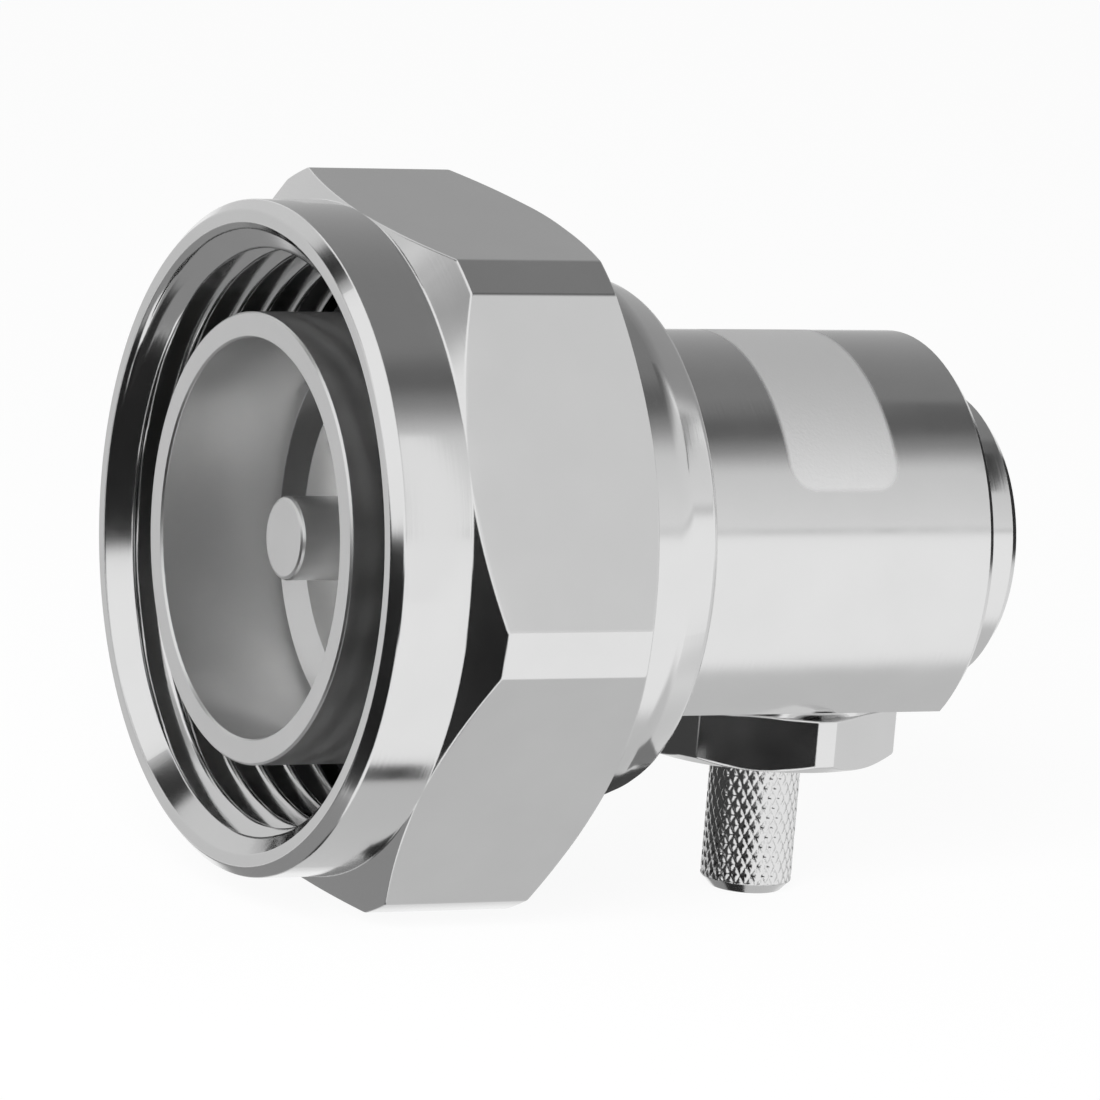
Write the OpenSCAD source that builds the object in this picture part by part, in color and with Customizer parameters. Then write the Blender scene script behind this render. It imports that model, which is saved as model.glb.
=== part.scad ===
// Right-angle coaxial plug with a screw coupling nut, for a thin crimped cable.
// X runs along the mating axis, with the mating side at -X, and the cable leaves towards -Z.
// The origin is on the axis, in the plane of the outer contact's front rim.

/* [Coupling nut] */
// Radial room between the outer contact and the thread's root, for the mating barrel
thread_room = 3.8; // [3.4:0.05:4.4]
// Wall of the nut at its flats and collar, outside the thread's root
nut_wall = 1.5; // [1.2:0.05:2.2]
// How far the turned corners stand above the flats
corner_rise = 1.88; // [1.2:0.02:2.2]
// Length of the round collar ahead of the hexagon
collar_len = 4; // [2.5:0.1:5]
// Length of the hexagon
hex_len = 9.75; // [9:0.05:13]
// Wall of the neck behind the hexagon, before it tapers
neck_wall = 2.94; // [2.2:0.02:3.6]
// Length of the neck
neck_len = 5.35; // [5.3:0.05:8]
// How far the lead-in cone opens beyond the thread's root, on the radius
lead_in_rise = 0.45; // [0.2:0.05:0.6]
// How far the nut stands ahead of the outer contact's rim
nut_overhang = 0.45; // [0.3:0.05:1]
// Turn of the nut about its axis at rest, in degrees
nut_turn = 23; // [0:1:59]

/* [Mating face] */
// Inside diameter of the outer contact's front recess
recess_d = 18.9; // [18:0.1:19.4]
// Wall thickness of the outer contact's sleeve
sleeve_wall = 1.25; // [1:0.05:1.6]
// Depth of the recess, from the rim to the edge of the shoulder
recess_depth = 6.35; // [6:0.05:6.8]
// Inside diameter of the outer conductor behind the shoulder
line_d = 16; // [15:0.1:16.6]
// Diameter of the contact pin
pin_d = 4; // [3:0.1:5]
// How far the pin's tip lies behind the rim
pin_setback = 1.85; // [1.2:0.05:3]

/* [Angle housing] */
// Diameter of the round housing
housing_d = 20; // [19.6:0.1:20.6]
// Length of the housing behind the nut
housing_len = 16.55; // [15.9:0.05:20]
// Height of the axis above the flat under the housing
flat_drop = 7.5; // [7:0.1:8.4]
// Diameter of the rear cap
cap_d = 14.2; // [13.2:0.1:16]
// How far the rear cap stands out of the housing
cap_stand = 3.1; // [1.5:0.05:4]

/* [Cable bush] */
// Distance of the cable's axis from the housing's rear face
cable_back = 6.6; // [6.4:0.1:7.4]
// Width of the bush's hexagon across its flats
bush_af = 12; // [10.5:0.1:12.4]
// Height of the bush's hexagon with its washer face
bush_hex_h = 3.1; // [2:0.1:4]
// Diameter of the crimp neck
crimp_d = 4.45; // [4:0.05:5.5]
// Length of the crimp neck
crimp_len = 6.9; // [5:0.1:10]
// Bore for the cable's dielectric
cable_bore_d = 3.1; // [2:0.05:3.3]

/* [Fits] */
// Radial clearance of the nut where it turns on the housing
run_clear = 0.08; // [0.03:0.01:0.1]
// Clearance between pieces that are fixed to one another
seat_clear = 0.02; // [0.01:0.01:0.04]
// How far the nut can float along its axis, each way from the middle
nut_float = 0.25; // [0.1:0.05:0.3]

/* [Hidden] */

$fn = 96;
eps = 0.01;
plated = "#c9c9c6";
silvered = "#d6d4cd";
beryllium = "#b79a62";
fluoropolymer = "#f1f0ea";
silicone = "#343435";

// Stations of the coupling nut along X
nut_front = -nut_overhang;
hex_front = nut_front + collar_len;
hex_rear = hex_front + hex_len;
nut_rear = hex_rear + neck_len;
sleeve_r = recess_d / 2 + sleeve_wall;
thread_r = sleeve_r + thread_room;
collar_r = thread_r + nut_wall;
corner_r = collar_r + corner_rise;
hex_chamfer = corner_rise * tan(30);
front_edge = 0.5;
lip_front = hex_rear - 1.5;
nut_bore_r = housing_d / 2 + run_clear;
neck_r = nut_bore_r + neck_wall;
neck_taper = 0.77;
neck_cone = 2.15;
undercut_r = thread_r + 0.2;
undercut_len = 1.5;

// The retaining ring sits half in the housing's groove and half in the nut's
float_gap = nut_float + 0.05;
ring_w = 1.2;
ring_x = hex_rear + 3.25;
ring_depth = 0.8;
ring_slack = 0.15;
ring_split = 2.4;
ring_in_r = housing_d / 2 - ring_depth + ring_slack;
ring_out_r = nut_bore_r + ring_depth;

// Stations of the outer contact along X
shoulder_cone = 0.6;
line_front = recess_depth + shoulder_cone;
flange_rear = lip_front - float_gap - 0.15;
flange_w = 1.6;
flange_front = flange_rear - flange_w;
flange_r = thread_r - 1.2;
gasket_w = 1.6;
gasket_front = flange_front - gasket_w;
gasket_seat_r = sleeve_r - 0.3;
rim_edge = 0.1;
step_x = hex_rear + 1.55;
tail_r = housing_d / 2 - 0.7;
bead_r = tail_r - 0.85;
bead_front = line_front + 2.55;

// Centre line
line_core_r = 3.5;
bead_core_r = 2.5;
rear_core_r = 2.1;
stud_r = 1.5;
stud_len = 4;
core_tail_r = 1.45;

// Angle housing
housing_rear = nut_rear + housing_len;
cable_x = housing_rear - cable_back;
flat_front = nut_rear + 1.15;
cavity_r = 5;
cap_seat_r = cap_d / 2 - 0.9;
cap_seat_len = 2;
cap_seat_x = housing_rear - cap_seat_len;
rear_bead_w = 2.2;
rear_bead_x = cap_seat_x - rear_bead_w;

// Cable bush
bush_corner_r = 0.555 * bush_af;
bush_washer_r = bush_af / 2 - 0.1;
bush_washer_h = 0.4;
bush_stem_r = 4;
bush_top = -cavity_r - 0.2;
hex_bottom = -flat_drop - bush_hex_h;
crimp_end = hex_bottom - crimp_len;
core_hole_r = 0.6;

// Turns a solid of revolution from Z to X
module along_x() {
    rotate([0, 90, 0]) children();
}

// Solid of revolution about X, from a profile of [radius, x] points
module turned(profile) {
    along_x() rotate_extrude() polygon(profile);
}

// Plain ring about X
module tube_x(x0, x1, r_in, r_out) {
    turned([[r_in, x0], [r_out, x0], [r_out, x1], [r_in, x1]]);
}

// Upright hexagon with turned corners and a chamfered lower edge
module bush_hexagon() {
    edge_r = bush_af / 2 - 0.05;
    drop = (bush_corner_r - edge_r) / tan(60);
    intersection() {
        translate([cable_x, 0, hex_bottom]) rotate([0, 0, 30]) {
            cylinder(d = bush_af / cos(30), h = bush_hex_h - bush_washer_h, $fn = 6);
        }
        translate([cable_x, 0, hex_bottom]) rotate_extrude() polygon([
            [0, 0], [edge_r, 0], [bush_corner_r, drop], [bush_corner_r, bush_hex_h], [0, bush_hex_h]
        ]);
    }
    // Round washer face against the housing
    translate([cable_x, 0, hex_bottom + 1]) cylinder(r = bush_washer_r, h = bush_hex_h - 1);
}

module nut_hexagon() {
    intersection() {
        along_x() rotate([0, 0, -nut_turn]) translate([0, 0, hex_front - eps]) {
            cylinder(r = collar_r / cos(30), h = hex_len + eps, $fn = 6);
        }
        turned([
            [0, hex_front - eps], [collar_r, hex_front - eps], [collar_r, hex_front],
            [corner_r, hex_front + hex_chamfer], [corner_r, hex_rear - hex_chamfer],
            [collar_r, hex_rear], [0, hex_rear]
        ]);
    }
}

module coupling_nut() {
    color(plated) difference() {
        union() {
            turned([
                [0, nut_front], [collar_r - front_edge, nut_front], [collar_r, nut_front + front_edge],
                [collar_r, hex_front], [0, hex_front]
            ]);
            nut_hexagon();
            turned([
                [0, hex_rear - eps], [neck_r, hex_rear - eps], [neck_r, nut_rear - neck_cone],
                [neck_r - neck_taper, nut_rear], [0, nut_rear]
            ]);
        }
        // Lead-in cone, thread bore and the undercut behind it
        turned([
            [0, nut_front - 1], [thread_r + lead_in_rise + 1, nut_front - 1],
            [thread_r, nut_front + lead_in_rise], [thread_r, lip_front - undercut_len],
            [undercut_r, lip_front - undercut_len + 0.2], [undercut_r, lip_front], [0, lip_front]
        ]);
        // Running bore with the inner half of the ring groove
        along_x() translate([0, 0, lip_front - 1]) cylinder(r = nut_bore_r, h = nut_rear - lip_front + 2);
        tube_x(ring_x - ring_w / 2 - 0.05, ring_x + ring_w / 2 + 0.05, 0, ring_out_r + ring_slack);
    }
}

module retaining_ring() {
    color(beryllium) difference() {
        tube_x(ring_x - ring_w / 2, ring_x + ring_w / 2, ring_in_r, ring_out_r);
        translate([ring_x - ring_w, -ring_split / 2, 0]) cube([2 * ring_w, ring_split, ring_out_r + 1]);
    }
}

module face_gasket() {
    color(silicone) tube_x(gasket_front, flange_front, gasket_seat_r + seat_clear, flange_r - 0.3);
}

module outer_contact() {
    color(silvered) difference() {
        turned([
            [0, 0], [sleeve_r - rim_edge, 0], [sleeve_r, rim_edge], [sleeve_r, gasket_front],
            [gasket_seat_r, gasket_front], [gasket_seat_r, flange_front],
            [flange_r, flange_front], [flange_r, flange_rear],
            [tail_r - seat_clear, flange_rear], [tail_r - seat_clear, step_x], [0, step_x]
        ]);
        turned([
            [0, -1], [recess_d / 2 + rim_edge + 1, -1], [recess_d / 2, rim_edge],
            [recess_d / 2, recess_depth], [line_d / 2, line_front],
            [line_d / 2, bead_front], [bead_r, bead_front], [bead_r, step_x + 1], [0, step_x + 1]
        ]);
    }
}

module contact_pin() {
    tip_round = 0.2;
    pin_r = pin_d / 2;
    color(silvered) turned([
        [0, pin_setback], [pin_r - tip_round, pin_setback],
        [pin_r - tip_round * 0.3, pin_setback + tip_round * 0.3], [pin_r, pin_setback + tip_round],
        [pin_r, line_front], [line_core_r, line_front], [line_core_r, bead_front],
        [bead_core_r, bead_front], [bead_core_r, step_x],
        [stud_r - seat_clear, step_x], [stud_r - seat_clear, step_x + stud_len], [0, step_x + stud_len]
    ]);
}

module front_insulator() {
    color(fluoropolymer) tube_x(bead_front, step_x, bead_core_r + seat_clear, bead_r - seat_clear);
}

module inner_conductor() {
    color(silvered) difference() {
        turned([
            [0, step_x], [rear_core_r, step_x], [rear_core_r, rear_bead_x],
            [core_tail_r, rear_bead_x], [core_tail_r, rear_bead_x + 1.6], [0, rear_bead_x + 1.6]
        ]);
        along_x() translate([0, 0, step_x - 1]) cylinder(r = stud_r, h = stud_len + 1.3);
        // Hole for the cable's core
        translate([cable_x, 0, -rear_core_r - 1]) cylinder(r = core_hole_r, h = 2 * rear_core_r + 2);
    }
}

module angle_housing() {
    edge = 0.4;
    housing_r = housing_d / 2;
    color(plated) difference() {
        turned([
            [0, flange_rear], [housing_r, flange_rear], [housing_r, housing_rear - edge],
            [housing_r - edge, housing_rear], [0, housing_rear]
        ]);
        // Seat of the outer contact, cavity around the centre line, seat of the cap
        turned([
            [0, flange_rear - 1], [tail_r, flange_rear - 1], [tail_r, step_x], [cavity_r, step_x],
            [cavity_r, cap_seat_x], [cap_seat_r, cap_seat_x], [cap_seat_r, housing_rear + 1], [0, housing_rear + 1]
        ]);
        // Outer half of the ring groove
        tube_x(ring_x - ring_w / 2 - float_gap, ring_x + ring_w / 2 + float_gap,
            housing_r - ring_depth, housing_r + 1);
        // Flat for the bush
        translate([flat_front, -housing_r, -housing_r - 1]) {
            cube([housing_rear - flat_front + 1, housing_d, housing_r + 1 - flat_drop]);
        }
        translate([cable_x, 0, -flat_drop - 1]) cylinder(r = bush_stem_r, h = flat_drop + 1);
    }
}

module rear_insulator() {
    color(fluoropolymer) tube_x(rear_bead_x, cap_seat_x, core_tail_r + seat_clear, cavity_r - seat_clear);
}

module rear_cap() {
    edge = 0.5;
    rear = housing_rear + cap_stand;
    color(plated) turned([
        [0, cap_seat_x], [cap_seat_r - seat_clear, cap_seat_x], [cap_seat_r - seat_clear, housing_rear],
        [cap_d / 2, housing_rear], [cap_d / 2, rear - edge], [cap_d / 2 - edge, rear], [0, rear]
    ]);
}

module cable_bush() {
    edge = 0.4;
    color(plated) difference() {
        union() {
            translate([cable_x, 0, -flat_drop - eps]) {
                cylinder(r = bush_stem_r - seat_clear, h = flat_drop + bush_top + eps);
            }
            bush_hexagon();
            translate([cable_x, 0, crimp_end]) rotate_extrude() polygon([
                [0, 0], [crimp_d / 2 - edge, 0], [crimp_d / 2, edge],
                [crimp_d / 2, crimp_len + eps], [0, crimp_len + eps]
            ]);
        }
        translate([cable_x, 0, crimp_end - 1]) cylinder(d = cable_bore_d, h = bush_top - crimp_end + 2);
    }
}

coupling_nut();
retaining_ring();
face_gasket();
outer_contact();
contact_pin();
front_insulator();
inner_conductor();
angle_housing();
rear_insulator();
rear_cap();
cable_bush();
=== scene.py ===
import math

import bmesh
import bpy
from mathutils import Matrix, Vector


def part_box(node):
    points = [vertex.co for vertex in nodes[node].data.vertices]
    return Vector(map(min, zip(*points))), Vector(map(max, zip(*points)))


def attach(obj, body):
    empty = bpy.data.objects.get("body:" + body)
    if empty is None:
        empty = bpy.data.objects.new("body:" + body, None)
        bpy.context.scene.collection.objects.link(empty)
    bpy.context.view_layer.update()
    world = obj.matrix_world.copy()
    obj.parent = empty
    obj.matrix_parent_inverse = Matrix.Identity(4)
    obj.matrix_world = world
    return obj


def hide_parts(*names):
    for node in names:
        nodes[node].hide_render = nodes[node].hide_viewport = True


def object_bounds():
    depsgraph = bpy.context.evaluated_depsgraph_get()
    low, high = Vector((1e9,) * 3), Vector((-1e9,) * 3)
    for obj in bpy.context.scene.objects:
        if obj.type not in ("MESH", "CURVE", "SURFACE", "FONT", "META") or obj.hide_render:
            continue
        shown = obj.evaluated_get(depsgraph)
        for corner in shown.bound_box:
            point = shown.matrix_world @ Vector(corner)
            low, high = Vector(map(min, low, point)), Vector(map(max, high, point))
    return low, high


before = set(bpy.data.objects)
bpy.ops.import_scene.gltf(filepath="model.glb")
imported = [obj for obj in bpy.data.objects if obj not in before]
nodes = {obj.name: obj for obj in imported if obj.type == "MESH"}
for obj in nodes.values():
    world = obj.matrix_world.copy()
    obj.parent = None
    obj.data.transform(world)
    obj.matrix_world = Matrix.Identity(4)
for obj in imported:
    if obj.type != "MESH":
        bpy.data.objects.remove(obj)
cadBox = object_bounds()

mm = 0.001
print("frame loaded:", len(nodes), "nodes")


def linearColour(hexText):
    shares = [int(hexText[i:i + 2], 16) / 255 for i in (1, 3, 5)]
    linear = [s / 12.92 if s <= 0.04045 else ((s + 0.055) / 1.055) ** 2.4 for s in shares]
    return (*linear, 1.0)


# settings and links go to the node's sockets by name or number, other settings to its properties
def addNode(tree, kind, settings=None, links=None):
    made = tree.nodes.new("ShaderNode" + kind)
    for key, value in (settings or {}).items():
        if isinstance(key, int) or key in made.inputs:
            made.inputs[key].default_value = value
        else:
            setattr(made, key, value)
    for key, source in (links or {}).items():
        tree.links.new(source, made.inputs[key])
    return made


def newTree(name):
    material = bpy.data.materials.new(name)
    material.use_nodes = True
    material.node_tree.nodes.clear()
    return material, material.node_tree


noiseSpan = (0.3, 0.7)     # nearly all of the noise texture's values lie between these

# lathe axes: a point on the axis, its direction, and a mask that keeps what lies across it
matingAxis = {"point": (0, 0, 0), "along": (1, 0, 0), "across": (0, 1, 1), "turn": "X"}
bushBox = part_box("cable_bush")
cableX = (bushBox[0].x + bushBox[1].x) / 2
cableAxis = {"point": (cableX, 0, 0), "along": (0, 0, 1), "across": (1, 1, 0), "turn": "Z"}

# white bronze plated brass, turned: neutral grey mirror with faint rings from the tool
turnedBronze = {
    "name": "white bronze plated brass, turned",
    "colours": ("#dcdcdc", "#e3e3e3"),
    "roughness": (0.1, 0.16),
    "anisotropy": 0.3,
    "feed": 0.16,        # mm between tool marks, drawn coarser than the real 0.06 so that they show
    "markDepth": 0.0012,  # mm
    "cloud": 3.5,        # mm, size of the patches in the plating
    "edge": 0.07,        # mm, rounding of sharp edges by tumbling
}
# the same plating on the drawn faces of the hexagon bar: straight faint lines along the bar
drawnBronze = {
    **turnedBronze,
    "name": "white bronze plated brass, drawn flats",
    "anisotropy": 0.0,
    "feed": 0.12,
    "markDepth": 0.0008,
    "drawn": (0.03, 1, 1),     # stretches the marks along the bar
}
# silver plated brass: softer mirror with finer tool marks
silverPlate = {
    "name": "silver plated brass, turned",
    "colours": ("#d9d9d9", "#e2e2e2"),
    "roughness": (0.28, 0.31),
    "anisotropy": 0.3,
    "feed": 0.11,
    "markDepth": 0.0005,
    "cloud": 2.5,
    "edge": 0.05,
}


def platedMetal(finish, axis, field=None):
    material, tree = newTree(finish["name"])
    place = addNode(tree, "TexCoord")
    centred = addNode(tree, "VectorMath", {"operation": "SUBTRACT", 1: axis["point"]},
                      {0: place.outputs["Object"]})
    across = addNode(tree, "VectorMath", {"operation": "MULTIPLY", 1: axis["across"]},
                     {0: centred.outputs["Vector"]})
    radius = addNode(tree, "VectorMath", {"operation": "LENGTH"}, {0: across.outputs["Vector"]})
    along = addNode(tree, "VectorMath", {"operation": "DOT_PRODUCT", 1: axis["along"]},
                    {0: centred.outputs["Vector"]})
    lathe = addNode(tree, "CombineXYZ", links={"X": along.outputs["Value"], "Y": radius.outputs["Value"]})
    if "drawn" in finish:
        lathe = addNode(tree, "VectorMath", {"operation": "MULTIPLY", 1: finish["drawn"]},
                        {0: place.outputs["Object"]})
    marks = addNode(tree, "TexNoise", {"Scale": 1 / (finish["feed"] * mm), "Detail": 3.0},
                    {"Vector": lathe.outputs["Vector"]})
    clouds = addNode(tree, "TexNoise", {"Scale": 1 / (finish["cloud"] * mm), "Detail": 4.0},
                     {"Vector": place.outputs["Object"]})
    low, high = finish["roughness"]
    spread = {"From Min": noiseSpan[0], "From Max": noiseSpan[1], "To Min": low, "To Max": high}
    rough = addNode(tree, "MapRange", spread, {"Value": clouds.outputs["Fac"]}).outputs["Result"]
    first, second = [linearColour(c) for c in finish["colours"]]
    colour = addNode(tree, "Mix", {"data_type": "RGBA", 6: first, 7: second},
                     {0: clouds.outputs["Fac"]}).outputs[2]
    edge = addNode(tree, "Bevel", {"Radius": finish["edge"] * mm, "samples": 4})
    normal = addNode(tree, "Bump", {"Strength": 1.0, "Distance": finish["markDepth"] * mm},
                     {"Height": marks.outputs["Fac"], "Normal": edge.outputs["Normal"]}).outputs["Normal"]
    metal = {}
    if field:
        colour, rough, normal, metal = blastedField(tree, field, place, along, colour, rough, normal)
    tangent = addNode(tree, "Tangent", {"direction_type": "RADIAL", "axis": axis["turn"]})
    shader = addNode(tree, "BsdfPrincipled", {"Metallic": 1.0, "Anisotropic": finish["anisotropy"]},
                     {"Base Color": colour, "Roughness": rough, "Normal": normal,
                      "Tangent": tangent.outputs["Tangent"], **metal})
    addNode(tree, "OutputMaterial", links={"Surface": shader.outputs["BSDF"]})
    return material


# bare field blasted matt on the housing, over the top and down to the near side
markingField = {
    "centre": (27.0, 4.1),   # mm along the housing, and mm round it from the top towards -Y
    "half": (2.95, 7.6),     # mm
    "corner": 1.3,           # mm
    "soft": 0.12,            # mm, width of the border
    "housingRadius": 10.0,   # mm
    "grit": 0.16,            # mm
    "gritDepth": 0.012,      # mm
    "colour": "#ececec",
    "roughness": 0.55,
    "metal": 0.88,           # share of plain metal; the rest scatters light as the blasted grains do
}


def blastedField(tree, field, place, along, colour, rough, normal):
    parts = addNode(tree, "SeparateXYZ", links={0: place.outputs["Object"]})
    near = addNode(tree, "Math", {"operation": "MULTIPLY", 1: -1.0}, {0: parts.outputs["Y"]})
    angle = addNode(tree, "Math", {"operation": "ARCTAN2"}, {0: near.outputs[0], 1: parts.outputs["Z"]})
    arc = addNode(tree, "Math", {"operation": "MULTIPLY", 1: field["housingRadius"] * mm},
                  {0: angle.outputs[0]})
    flat = addNode(tree, "CombineXYZ", links={"X": along.outputs["Value"], "Y": arc.outputs[0]})
    centre = [c * mm for c in field["centre"]] + [0]
    inner = [(h - field["corner"]) * mm for h in field["half"]] + [0]
    # distance to a rectangle with rounded corners
    offset = addNode(tree, "VectorMath", {"operation": "SUBTRACT", 1: centre}, {0: flat.outputs["Vector"]})
    mirrored = addNode(tree, "VectorMath", {"operation": "ABSOLUTE"}, {0: offset.outputs["Vector"]})
    beyond = addNode(tree, "VectorMath", {"operation": "SUBTRACT", 1: inner}, {0: mirrored.outputs["Vector"]})
    outside = addNode(tree, "VectorMath", {"operation": "MAXIMUM", 1: (0, 0, 0)},
                      {0: beyond.outputs["Vector"]})
    distance = addNode(tree, "VectorMath", {"operation": "LENGTH"}, {0: outside.outputs["Vector"]})
    edges = {"From Min": (field["corner"] + field["soft"]) * mm,
             "From Max": (field["corner"] - field["soft"]) * mm}
    mask = addNode(tree, "MapRange", edges, {"Value": distance.outputs["Value"]}).outputs["Result"]
    grit = addNode(tree, "TexNoise", {"Scale": 1 / (field["grit"] * mm), "Detail": 2.0},
                   {"Vector": place.outputs["Object"]})
    height = addNode(tree, "Math", {"operation": "MULTIPLY"}, {0: grit.outputs["Fac"], 1: mask})
    normal = addNode(tree, "Bump", {"Strength": 1.0, "Distance": field["gritDepth"] * mm},
                     {"Height": height.outputs[0], "Normal": normal}).outputs["Normal"]
    colour = addNode(tree, "Mix", {"data_type": "RGBA", 7: linearColour(field["colour"])},
                     {0: mask, 6: colour}).outputs[2]
    rough = addNode(tree, "Mix", {3: field["roughness"]}, {0: mask, 2: rough}).outputs[0]
    metal = addNode(tree, "Mix", {2: 1.0, 3: field["metal"]}, {0: mask}).outputs[0]
    return colour, rough, normal, {"Metallic": metal}


# fluoropolymer, turned: waxy white with soft tool rings
fluoropolymer = {"name": "fluoropolymer, turned", "colours": ("#e8e8e7", "#f0f0ef"), "roughness": 0.42,
                 "ior": 1.35, "feed": 0.25, "markDepth": 0.004}


def waxyPlastic(finish):
    material, tree = newTree(finish["name"])
    place = addNode(tree, "TexCoord")
    across = addNode(tree, "VectorMath", {"operation": "MULTIPLY", 1: matingAxis["across"]},
                     {0: place.outputs["Object"]})
    radius = addNode(tree, "VectorMath", {"operation": "LENGTH"}, {0: across.outputs["Vector"]})
    rings = addNode(tree, "TexNoise", {"noise_dimensions": "1D", "Scale": 1 / (finish["feed"] * mm)},
                    {"W": radius.outputs["Value"]})
    first, second = [linearColour(c) for c in finish["colours"]]
    colour = addNode(tree, "Mix", {"data_type": "RGBA", 6: first, 7: second}, {0: rings.outputs["Fac"]})
    relief = addNode(tree, "Bump", {"Strength": 1.0, "Distance": finish["markDepth"] * mm},
                     {"Height": rings.outputs["Fac"]})
    shader = addNode(tree, "BsdfPrincipled", {"Roughness": finish["roughness"], "IOR": finish["ior"]},
                     {"Base Color": colour.outputs[2], "Normal": relief.outputs["Normal"]})
    addNode(tree, "OutputMaterial", links={"Surface": shader.outputs["BSDF"]})
    return material


# silicone rubber, moulded: dull dark grey with a fine bloom
silicone = {"name": "silicone rubber, moulded", "colours": ("#2b2b2c", "#363637"), "roughness": 0.6,
            "ior": 1.41, "grain": 0.3, "grainDepth": 0.004}


def dullRubber(finish):
    material, tree = newTree(finish["name"])
    place = addNode(tree, "TexCoord")
    grain = addNode(tree, "TexNoise", {"Scale": 1 / (finish["grain"] * mm), "Detail": 3.0},
                    {"Vector": place.outputs["Object"]})
    first, second = [linearColour(c) for c in finish["colours"]]
    colour = addNode(tree, "Mix", {"data_type": "RGBA", 6: first, 7: second}, {0: grain.outputs["Fac"]})
    relief = addNode(tree, "Bump", {"Strength": 1.0, "Distance": finish["grainDepth"] * mm},
                     {"Height": grain.outputs["Fac"]})
    shader = addNode(tree, "BsdfPrincipled", {"Roughness": finish["roughness"], "IOR": finish["ior"]},
                     {"Base Color": colour.outputs[2], "Normal": relief.outputs["Normal"]})
    addNode(tree, "OutputMaterial", links={"Surface": shader.outputs["BSDF"]})
    return material


# spring bronze, rolled and bare: warm metal with streaks along the strip
springBronze = {**turnedBronze, "name": "spring bronze, rolled", "colours": ("#b08a4e", "#c29c60"),
                "roughness": (0.25, 0.35)}

turnedSkin = platedMetal(turnedBronze, matingAxis)
flatSkin = platedMetal(drawnBronze, matingAxis)
housingSkin = platedMetal({**turnedBronze, "name": "white bronze plated brass, turned, blasted field"},
                          matingAxis, markingField)
bushSkin = platedMetal({**turnedBronze, "name": "white bronze plated brass, turned bush"}, cableAxis)
bushFlatSkin = platedMetal({**drawnBronze, "name": "white bronze plated brass, drawn bush flats",
                            "drawn": (1, 1, 0.03)}, cableAxis)
silverSkin = platedMetal(silverPlate, matingAxis)
bronzeSkin = platedMetal(springBronze, matingAxis)
plasticSkin = waxyPlastic(fluoropolymer)
rubberSkin = dullRubber(silicone)
print("materials made:", len(bpy.data.materials))


curveShares = (0, 0.33, 0.67, 1)     # points along the curve of a rounding
roundingLimit = 0.45     # share of the next edge that a rounding may take up
weldDistance = 1e-7      # m


# each corner is (along, radius, rounding); a rounded corner becomes a short curve
def roundedProfile(corners):
    points = []
    for i, (along, radius, rounding) in enumerate(corners):
        here = Vector((along, radius))
        if not rounding:
            points.append(here)
            continue
        before = Vector(corners[i - 1][:2]) - here
        after = Vector(corners[(i + 1) % len(corners)][:2]) - here
        reach = min(rounding, roundingLimit * before.length, roundingLimit * after.length)
        start = here + before.normalized() * reach
        end = here + after.normalized() * reach
        for s in curveShares:
            points.append(start * (1 - s) ** 2 + here * 2 * s * (1 - s) + end * s ** 2)
    return points


# skins a closed profile carried round an axis; profileAt gives its points at each angle
def skinPiece(name, angles, profileAt, place, materials, materialAt):
    shell = bmesh.new()
    rings = []
    for angle in angles:
        rings.append([shell.verts.new(place(angle, p.x, p.y) * mm) for p in profileAt(angle)])
    rows = len(rings[0])
    for i, angle in enumerate(angles):
        ring, following = rings[i], rings[(i + 1) % len(rings)]
        for j in range(rows):
            k = (j + 1) % rows
            face = shell.faces.new((ring[j], ring[k], following[k], following[j]))
            face.smooth = True
            face.material_index = materialAt(angle, j)
    bmesh.ops.remove_doubles(shell, verts=shell.verts, dist=weldDistance)
    bmesh.ops.recalc_face_normals(shell, faces=shell.faces)
    # broad faces set the normals, so that only the narrow roundings beside them look curved
    normals = []
    for vert in shell.verts:
        total = Vector()
        for face in vert.link_faces:
            total += face.normal * (face.calc_area() / mm ** 2) ** 2
        normals.append(total.normalized())
    mesh = bpy.data.meshes.new(name)
    shell.to_mesh(mesh)
    shell.free()
    mesh.normals_split_custom_set_from_vertices(normals)
    piece = bpy.data.objects.new(name, mesh)
    bpy.context.scene.collection.objects.link(piece)
    for material in materials:
        mesh.materials.append(material)
    print(name, "made with", len(mesh.polygons), "faces")
    return piece


def roundTheMatingAxis(angle, along, radius):      # 0 is the top, 90 the near side
    return Vector((along, -radius * math.sin(math.radians(angle)), radius * math.cos(math.radians(angle))))


def roundTheCable(angle, along, radius):
    turn = math.radians(angle)
    return Vector((cableX / mm + radius * math.cos(turn), radius * math.sin(turn), along))


edgeTurn = 0.4     # degrees over which the edge between a flat and a turned corner is rounded
edgeBlend = 0.06   # mm, softness of that edge


# angles round a hexagon: close together where the turned corners meet the flats
def hexagonAngles(firstFlat, flatRadius, cornerRadius, flatSteps, cornerSteps):
    meet = math.degrees(math.acos(flatRadius / cornerRadius))
    soft, corner = edgeTurn, 60 - 2 * (meet + edgeTurn)
    sector = [-meet + soft + 2 * (meet - soft) * i / flatSteps for i in range(flatSteps + 1)]
    sector += [meet - soft / 2, meet, meet + soft / 2]
    sector += [meet + soft + corner * i / cornerSteps for i in range(cornerSteps + 1)]
    sector += [60 - meet - soft / 2, 60 - meet, 60 - meet + soft / 2]
    return [firstFlat + 60 * k + a for k in range(6) for a in sector], meet


def angleFromFlat(angle, firstFlat):
    return (angle - firstFlat + 30) % 60 - 30


def hexagonRadius(angle, firstFlat, flatRadius, cornerRadius):
    flat = flatRadius / math.cos(math.radians(angleFromFlat(angle, firstFlat)))
    overlap = max(edgeBlend - abs(flat - cornerRadius), 0)
    return min(flat, cornerRadius) - overlap ** 2 / (4 * edgeBlend)


def liesOnFlat(angle, firstFlat, meet):
    return -meet <= angleFromFlat(angle, firstFlat) < meet - edgeTurn / 2


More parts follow.
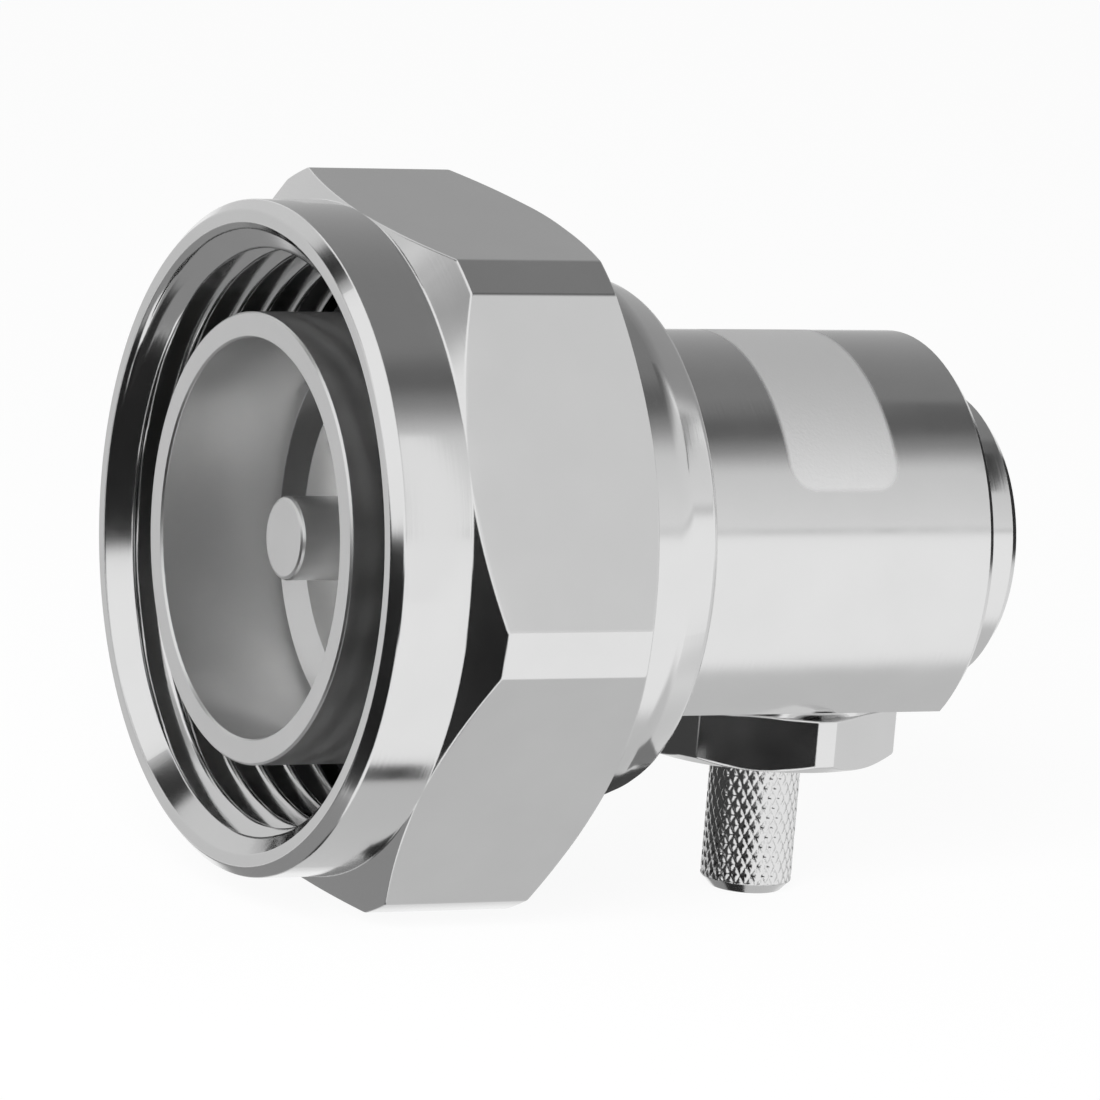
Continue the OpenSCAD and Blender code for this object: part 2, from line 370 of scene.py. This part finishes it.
# coupling nut with its internal thread, sizes in mm and degrees
nut = {
    "flatRadius": 16.0, "cornerRadius": 17.88, "firstFlat": 7, "collarLength": 4.0, "hexLength": 9.75,
    "chamfer": 30, "frontEdge": 0.5,
    "neckRadius": 13.02, "neckTaper": 0.77, "neckCone": 2.15, "neckRounding": 0.4, "rearEdge": 0.5,
    "bore": 10.08, "grooveRadius": 11.03, "grooveBack": 2.6, "grooveWidth": 1.3,
    "leadIn": 14.95, "leadInSlope": 1.05, "undercut": 14.8, "undercutLength": 1.5, "lip": 1.5,
    "threadRoot": 14.7, "threadCrest": 13.69, "pitch": 1.5, "threadPhase": 0.42, "rowsPerTurn": 18,
    "rootFlat": 0.03, "flank": 0.39,     # of the pitch: half the flat at the root, and one side of the groove
    "edge": 0.08,
    "hold": 0.2,     # from an edge to the row that keeps the face beside it flat
}
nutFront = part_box("coupling_nut")[0].x / mm
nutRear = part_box("coupling_nut")[1].x / mm


def threadRadius(along, angle, start, end):
    phase = (along / nut["pitch"] - angle / 360 + nut["threadPhase"]) % 1
    fromRoot = abs(phase - 0.5)
    share = min(max((fromRoot - nut["rootFlat"]) / nut["flank"], 0), 1)
    radius = nut["threadRoot"] + (nut["threadCrest"] - nut["threadRoot"]) * share
    leadIn = nut["leadIn"] - (along - start) * nut["leadInSlope"]
    return max(radius, leadIn, nut["undercut"] - (end - along))


def nutProfile(angle):
    land = hexagonRadius(angle, nut["firstFlat"], nut["flatRadius"], nut["cornerRadius"])
    collar, edge, hold = nut["flatRadius"], nut["edge"], nut["hold"]
    hexFront = nutFront + nut["collarLength"]
    hexRear = hexFront + nut["hexLength"]
    rise = max(land - collar, 0.001)     # never nothing, so that each angle has the same rows
    chamfer = rise * math.tan(math.radians(nut["chamfer"]))
    grooveFront = hexRear + nut["grooveBack"]
    grooveRear = grooveFront + nut["grooveWidth"]
    lipFront = hexRear - nut["lip"]
    threadEnd = lipFront - nut["undercutLength"]
    outside = [
        (nutFront, collar - nut["frontEdge"], edge), (nutFront + nut["frontEdge"], collar, edge),
        (hexFront - hold, collar, 0), (hexFront, collar, edge),
        (hexFront + chamfer, land, edge), (hexFront + chamfer + hold, land, 0),
        (hexRear - chamfer - hold, land, 0), (hexRear - chamfer, land, edge),
        (hexRear, collar, edge), (hexRear, nut["neckRadius"], edge),
        (nutRear - nut["neckCone"], nut["neckRadius"], nut["neckRounding"]),
        (nutRear, nut["neckRadius"] - nut["neckTaper"], nut["rearEdge"]), (nutRear, nut["bore"], edge),
        (grooveRear, nut["bore"], 0), (grooveRear, nut["grooveRadius"], 0),
        (grooveFront, nut["grooveRadius"], 0), (grooveFront, nut["bore"], 0),
        (lipFront, nut["bore"], edge), (lipFront, nut["undercut"], 0),
    ]
    rows = round((threadEnd - nutFront) / nut["pitch"] * nut["rowsPerTurn"])
    for i in range(rows + 1):
        along = threadEnd + (nutFront - threadEnd) * i / rows
        outside.append((along, threadRadius(along, angle, nutFront, threadEnd), 0))
    return roundedProfile(outside)


nutAngles, nutMeet = hexagonAngles(nut["firstFlat"], nut["flatRadius"], nut["cornerRadius"],
                                   flatSteps=24, cornerSteps=6)
landRows = range(16, 19)     # rows of faces along the hexagon, after its front chamfer


def nutMaterial(angle, row):
    return 1 if row in landRows and liesOnFlat(angle, nut["firstFlat"], nutMeet) else 0


couplingNut = skinPiece("coupling_nut_threaded", nutAngles, nutProfile, roundTheMatingAxis,
                        [turnedSkin, flatSkin], nutMaterial)
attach(couplingNut, "nut")
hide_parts("coupling_nut")

# cable bush with its knurled crimp neck, sizes in mm and degrees
bush = {
    "flatRadius": 6.0, "cornerRadius": 6.66, "hexHeight": 3.1, "faceRadius": 5.95, "chamfer": 30,
    "washerRadius": 5.9, "washerHeight": 0.4, "stemRadius": 3.98, "edge": 0.1,
    "neckRadius": 2.225, "plainRadius": 2.16, "plainLength": 0.5, "bore": 1.55,
    "endEdge": 0.5, "endDrop": 0.03,
    "knurlPitch": 0.52, "knurlDepth": 0.09, "knurlGroove": 0.24, "knurlSlope": 28, "knurlRow": 0.06,
}
bushTop = bushBox[1].z / mm
bushEnd = bushBox[0].z / mm
flatZ = -7.5    # mm, flat under the housing, which lies above the housing's lowest point


def knurlRadius(along, angle):
    starts = round(2 * math.pi * bush["neckRadius"] / bush["knurlPitch"])
    lead = math.tan(math.radians(bush["knurlSlope"])) * along / bush["neckRadius"] / (2 * math.pi)
    deepest = 0
    for side in (-1, 1):
        phase = (starts * (angle / 360 + side * lead)) % 1
        deepest = max(deepest, 1 - abs(phase - 0.5) / bush["knurlGroove"])
    return bush["neckRadius"] - bush["knurlDepth"] * deepest


def crimpRadius(along, angle, top):      # the knurl rises from the plain part at 45 degrees
    return min(knurlRadius(along, angle), bush["plainRadius"] + top - along)


def bushProfile(angle):
    land = hexagonRadius(angle, 0, bush["flatRadius"], bush["cornerRadius"])
    edge = bush["edge"]
    hexTop = flatZ - bush["washerHeight"]
    hexBottom = flatZ - bush["hexHeight"]
    chamfer = (land - bush["faceRadius"]) * math.tan(math.radians(bush["chamfer"]))
    knurlTop = hexBottom - bush["plainLength"]
    knurlEnd = bushEnd + bush["endEdge"]
    corners = [
        (bushTop, bush["bore"], 0), (bushTop, bush["stemRadius"], edge), (flatZ, bush["stemRadius"], 0),
        (flatZ, bush["washerRadius"], edge), (hexTop, bush["washerRadius"], 0), (hexTop, land, edge),
        (hexBottom + chamfer, land, edge), (hexBottom, bush["faceRadius"], edge),
        (hexBottom, bush["plainRadius"], edge), (knurlTop + edge, bush["plainRadius"], 0),
    ]
    rows = round((knurlTop - knurlEnd) / bush["knurlRow"])
    for i in range(rows + 1):
        along = knurlTop + (knurlEnd - knurlTop) * i / rows
        corners.append((along, crimpRadius(along, angle, knurlTop), 0))
    corners[-1] = (knurlEnd, bush["neckRadius"] - bush["endDrop"], 0)     # the end is turned after the knurl
    corners += [(bushEnd, bush["neckRadius"] - bush["endEdge"], edge), (bushEnd, bush["bore"], edge)]
    return roundedProfile(corners)


bushAngles, bushMeet = hexagonAngles(0, bush["flatRadius"], bush["cornerRadius"],
                                     flatSteps=30, cornerSteps=6)
bushLandRow = 14    # row of faces down the hexagon's sides


def bushMaterial(angle, row):
    return 1 if row == bushLandRow and liesOnFlat(angle, 0, bushMeet) else 0


cableBush = skinPiece("cable_bush_knurled", bushAngles, bushProfile, roundTheCable,
                      [bushSkin, bushFlatSkin], bushMaterial)
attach(cableBush, "plug")
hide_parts("cable_bush")

# pieces that keep their solid, with the finish of each
nodeSkins = {
    "angle_housing": housingSkin, "rear_cap": turnedSkin, "retaining_ring": bronzeSkin,
    "outer_contact": silverSkin, "contact_pin": silverSkin, "inner_conductor": silverSkin,
    "front_insulator": plasticSkin, "rear_insulator": plasticSkin, "face_gasket": rubberSkin,
}
for name, skin in nodeSkins.items():
    nodes[name].data.materials.clear()
    nodes[name].data.materials.append(skin)
print("finishes given to", len(nodeSkins), "solids")

# studio: white floor and surroundings, with grey and black cards that only the metal sees
studio = {
    "floorSize": 1.5,          # m
    "floorColour": "#f4f4f4",
    "floorSeen": 0.92,         # share of plain white that the camera sees on the floor
    "skyLevel": 0.55,
    "cardDistance": 0.5,       # m, to the first card; each of the others hangs a little nearer
    "cardGap": 0.004,          # m
    "cards": [
        # name, azimuths, elevations, levels from low to high, width of the soft border
        ("sideCard", (-2, 86), (9, 56), (0.84, 0.67), 6),
        ("overheadCard", (5, 178), (37, 90), (0.26, 0.22), 13),
        ("horizonStrip", (20, 92), (49, 62), (0.13, 0.13), 5),
        ("rearCard", (84, 168), (-8, 64), (0.54, 0.22), 14),
        ("seamStrip", (-2, 86), (8.5, 13), (0.58, 0.58), 2.2),
        ("facingCard", (-192, -126), (-24, 56), (0.64, 0.74), 7),
        ("cornerCard", (-130, -104), (12, 32), (0.4, 0.4), 6),
        ("mouthStrip", (-140, -116), (31, 62), (0.02, 0.02), 3),
        ("lowLeftCard", (-192, -90), (-90, -22), (0.3, 0.3), 6),
        # painted shadow: grey card below and behind the plug, which the metal mirrors in place of the plug's
        # own shadow on the floor
        ("floorShadowCard", (50, 174), (-90, -28), (0.6, 0.68), 13),
        ("endStrip", (-222, -120), (-90, -62), (0.03, 0.03), 3),
        ("rightLowCard", (72, 142), (-36, -2), (0.76, 0.76), 6),
        ("capStrip", (104, 134), (-10, 9), (0.03, 0.03), 2),
        ("lowLeftDark", (-122, -86), (-39, 4), (0.03, 0.03), 4),
        ("frontCard", (-94, -48), (-55, 7), (0.02, 0.02), 3),
        ("bushCard", (-54, -8), (-22, 2), (0.02, 0.02), 3),
    ],
    "boards": [
        # name, centre, half width and half height in mm, level
        ("collarBoard", (14.7, -19.9, -34), (2.2, 0, 0), (0, -1.9, 0.46), 0.03),
        ("collarLight", (13.7, -37.4, 10.6), (1.8, 0, 0), (0, 4.6, 15.6), 0.96),
        ("capBoard", (48.6, -16.0, 22.4), (1.7, 0, 0), (0, -6.2, -3.8), 0.02),
        # painted shade: dark board under the housing just behind the nut, which the crimp neck mirrors in
        # place of the nut's shaded rear face
        ("bushShadeBoard", (20.4, 3.3, -12.85), (0, 8.8, 0), (0, 0, 4.65), 0.06),
        # painted shade: grey board just behind the lower near side of the nut's neck, which darkens what its
        # rear edge mirrors beside the housing
        ("neckShadeBoard", (20.4, -7.6, -12.3), (0, 1.6, 0), (0, 0, 1.5), 0.22),
    ],
    "lampAzimuth": -42, "lampElevation": 24, "lampDistance": 0.5, "lampSize": 0.3, "lampPower": 3.2,
}


# azimuth 0 is the near side and 90 the rear of the plug
def direction(azimuth, elevation):
    a, e = math.radians(azimuth), math.radians(elevation)
    return Vector((math.sin(a) * math.cos(e), -math.cos(a) * math.cos(e), math.sin(e)))


def cardMaterial(name, low, high, levels):
    material, tree = newTree(name)
    place = addNode(tree, "TexCoord")
    parts = addNode(tree, "SeparateXYZ", links={0: place.outputs["Object"]})
    ramp = {"From Min": low, "From Max": high, "To Min": levels[0], "To Max": levels[1]}
    level = addNode(tree, "MapRange", ramp, {"Value": parts.outputs["Z"]})
    glow = addNode(tree, "Emission", links={"Strength": level.outputs["Result"]})
    clear = addNode(tree, "BsdfTransparent")
    cover = addNode(tree, "Attribute", {"attribute_name": "cover"})
    mixed = addNode(tree, "MixShader",
                    links={0: cover.outputs["Fac"], 1: clear.outputs[0], 2: glow.outputs[0]})
    addNode(tree, "OutputMaterial", links={"Surface": mixed.outputs[0]})
    return material


def placeCard(name, points, faces, covers, levels):
    mesh = bpy.data.meshes.new(name)
    mesh.from_pydata(points, [], faces)
    mesh.attributes.new("cover", "FLOAT", "POINT").data.foreach_set("value", covers)
    heights = [p.z for p in points]
    mesh.materials.append(cardMaterial(name, min(heights), max(heights), levels))
    panel = bpy.data.objects.new(name, mesh)
    bpy.context.scene.collection.objects.link(panel)
    # only reflections see a card
    panel.visible_camera = panel.visible_diffuse = panel.visible_shadow = panel.visible_transmission = False


objectCentre = (cadBox[0] + cadBox[1]) / 2
steps = 48     # cells along each side of a card
column = steps + 1
grid = [(i * column + j, (i + 1) * column + j, (i + 1) * column + j + 1, i * column + j + 1)
        for i in range(steps) for j in range(steps)]
for order, (name, azimuths, elevations, levels, soft) in enumerate(studio["cards"]):
    reach = studio["cardDistance"] - order * studio["cardGap"]
    points, covers = [], []
    for i in range(column):
        for j in range(column):
            azimuth = azimuths[0] + (azimuths[1] - azimuths[0]) * i / steps
            elevation = elevations[0] + (elevations[1] - elevations[0]) * j / steps
            points.append(objectCentre + reach * direction(azimuth, elevation))
            borders = [azimuth - azimuths[0], azimuths[1] - azimuth]
            borders += [abs(elevation - e) for e in elevations if abs(e) < 90]
            share = min(min(borders) / soft, 1)
            covers.append(share * share * (3 - 2 * share))     # eases in and out
    placeCard(name, points, grid, covers, levels)
for name, centre, aside, upward, level in studio["boards"]:
    middle, wide, tall = [Vector(v) * mm for v in (centre, aside, upward)]
    points = [middle - wide - tall, middle + wide - tall, middle + wide + tall, middle - wide + tall]
    placeCard(name, points, [(0, 1, 2, 3)], [1, 1, 1, 1], (level, level))


# 1 for rays that see a surface directly, in a mirror or through glass
def seenShare(tree):
    path = addNode(tree, "LightPath")
    direct = addNode(tree, "Math", {"operation": "MAXIMUM"},
                     {0: path.outputs["Is Camera Ray"], 1: path.outputs["Is Glossy Ray"]})
    return addNode(tree, "Math", {"operation": "MAXIMUM"},
                   {0: direct.outputs[0], 1: path.outputs["Is Transmission Ray"]}).outputs[0]


floorMaterial, tree = newTree("white floor")
share = addNode(tree, "Math", {"operation": "MULTIPLY", 1: studio["floorSeen"]}, {0: seenShare(tree)})
paper = addNode(tree, "BsdfDiffuse", {"Color": linearColour(studio["floorColour"])})
glow = addNode(tree, "Emission", {"Strength": 1.0})
mixed = addNode(tree, "MixShader", links={0: share.outputs[0], 1: paper.outputs[0], 2: glow.outputs[0]})
addNode(tree, "OutputMaterial", links={"Surface": mixed.outputs[0]})
floorMesh = bpy.data.meshes.new("floor")
half = studio["floorSize"] / 2
floorZ = cadBox[0].z
corners = [(-half, -half, floorZ), (half, -half, floorZ), (half, half, floorZ), (-half, half, floorZ)]
floorMesh.from_pydata(corners, [], [(0, 1, 2, 3)])
floorMesh.materials.append(floorMaterial)
floor = bpy.data.objects.new("floor", floorMesh)
floor.visible_glossy = False     # the metal mirrors the white surroundings and the cards
bpy.context.scene.collection.objects.link(floor)

world = bpy.data.worlds.new("white surroundings")
bpy.context.scene.world = world
world.use_nodes = True
tree = world.node_tree
tree.nodes.clear()
white = (1, 1, 1, 1)
sky = addNode(tree, "Background", {"Color": white, "Strength": studio["skyLevel"]})
plain = addNode(tree, "Background", {"Color": white, "Strength": 1.0})
mixed = addNode(tree, "MixShader", links={0: seenShare(tree), 1: sky.outputs[0], 2: plain.outputs[0]})
addNode(tree, "OutputWorld", links={"Surface": mixed.outputs[0]})

lampData = bpy.data.lights.new("softLamp", "AREA")
lampData.shape = "DISK"
lampData.size = studio["lampSize"]
lampData.energy = studio["lampPower"]
lamp = bpy.data.objects.new("softLamp", lampData)
lampWay = direction(studio["lampAzimuth"], studio["lampElevation"])
lamp.location = objectCentre + lampWay * studio["lampDistance"]
lamp.rotation_euler = lampWay.to_track_quat("Z", "Y").to_euler()
lamp.visible_glossy = False     # the metal mirrors the cards alone
bpy.context.scene.collection.objects.link(lamp)

# camera at the photo's angle, fitted to the outlines of the nut and the housing
cameraFit = {"azimuth": -28.727, "elevation": 9.582, "roll": 4.780, "distance": 0.417108,
             "target": (15.55, 0, 0), "aside": 0.527, "below": 0.649, "lens": 284.63, "sensor": 36,
             "nearest": 0.01}
back = direction(cameraFit["azimuth"], cameraFit["elevation"])
level = Vector((0, 0, 1)).cross(back).normalized()
upright = back.cross(level)
roll = math.radians(cameraFit["roll"])
right = level * math.cos(roll) + upright * math.sin(roll)
above = upright * math.cos(roll) - level * math.sin(roll)
aim = (Vector(cameraFit["target"]) + right * cameraFit["aside"] - above * cameraFit["below"]) * mm
cameraData = bpy.data.cameras.new("camera")
cameraData.sensor_width = cameraFit["sensor"]
cameraData.lens = cameraFit["lens"]
cameraData.clip_start = cameraFit["nearest"]
camera = bpy.data.objects.new("camera", cameraData)
turn = camera.matrix_world.copy()
for i, axis in enumerate((right, above, back)):
    turn.col[i] = (*axis, 0)
turn.col[3] = (*(aim + back * cameraFit["distance"]), 1)
camera.matrix_world = turn
bpy.context.scene.collection.objects.link(camera)
bpy.context.scene.camera = camera
bpy.context.scene.view_settings.view_transform = "Standard"
print("studio and camera ready")
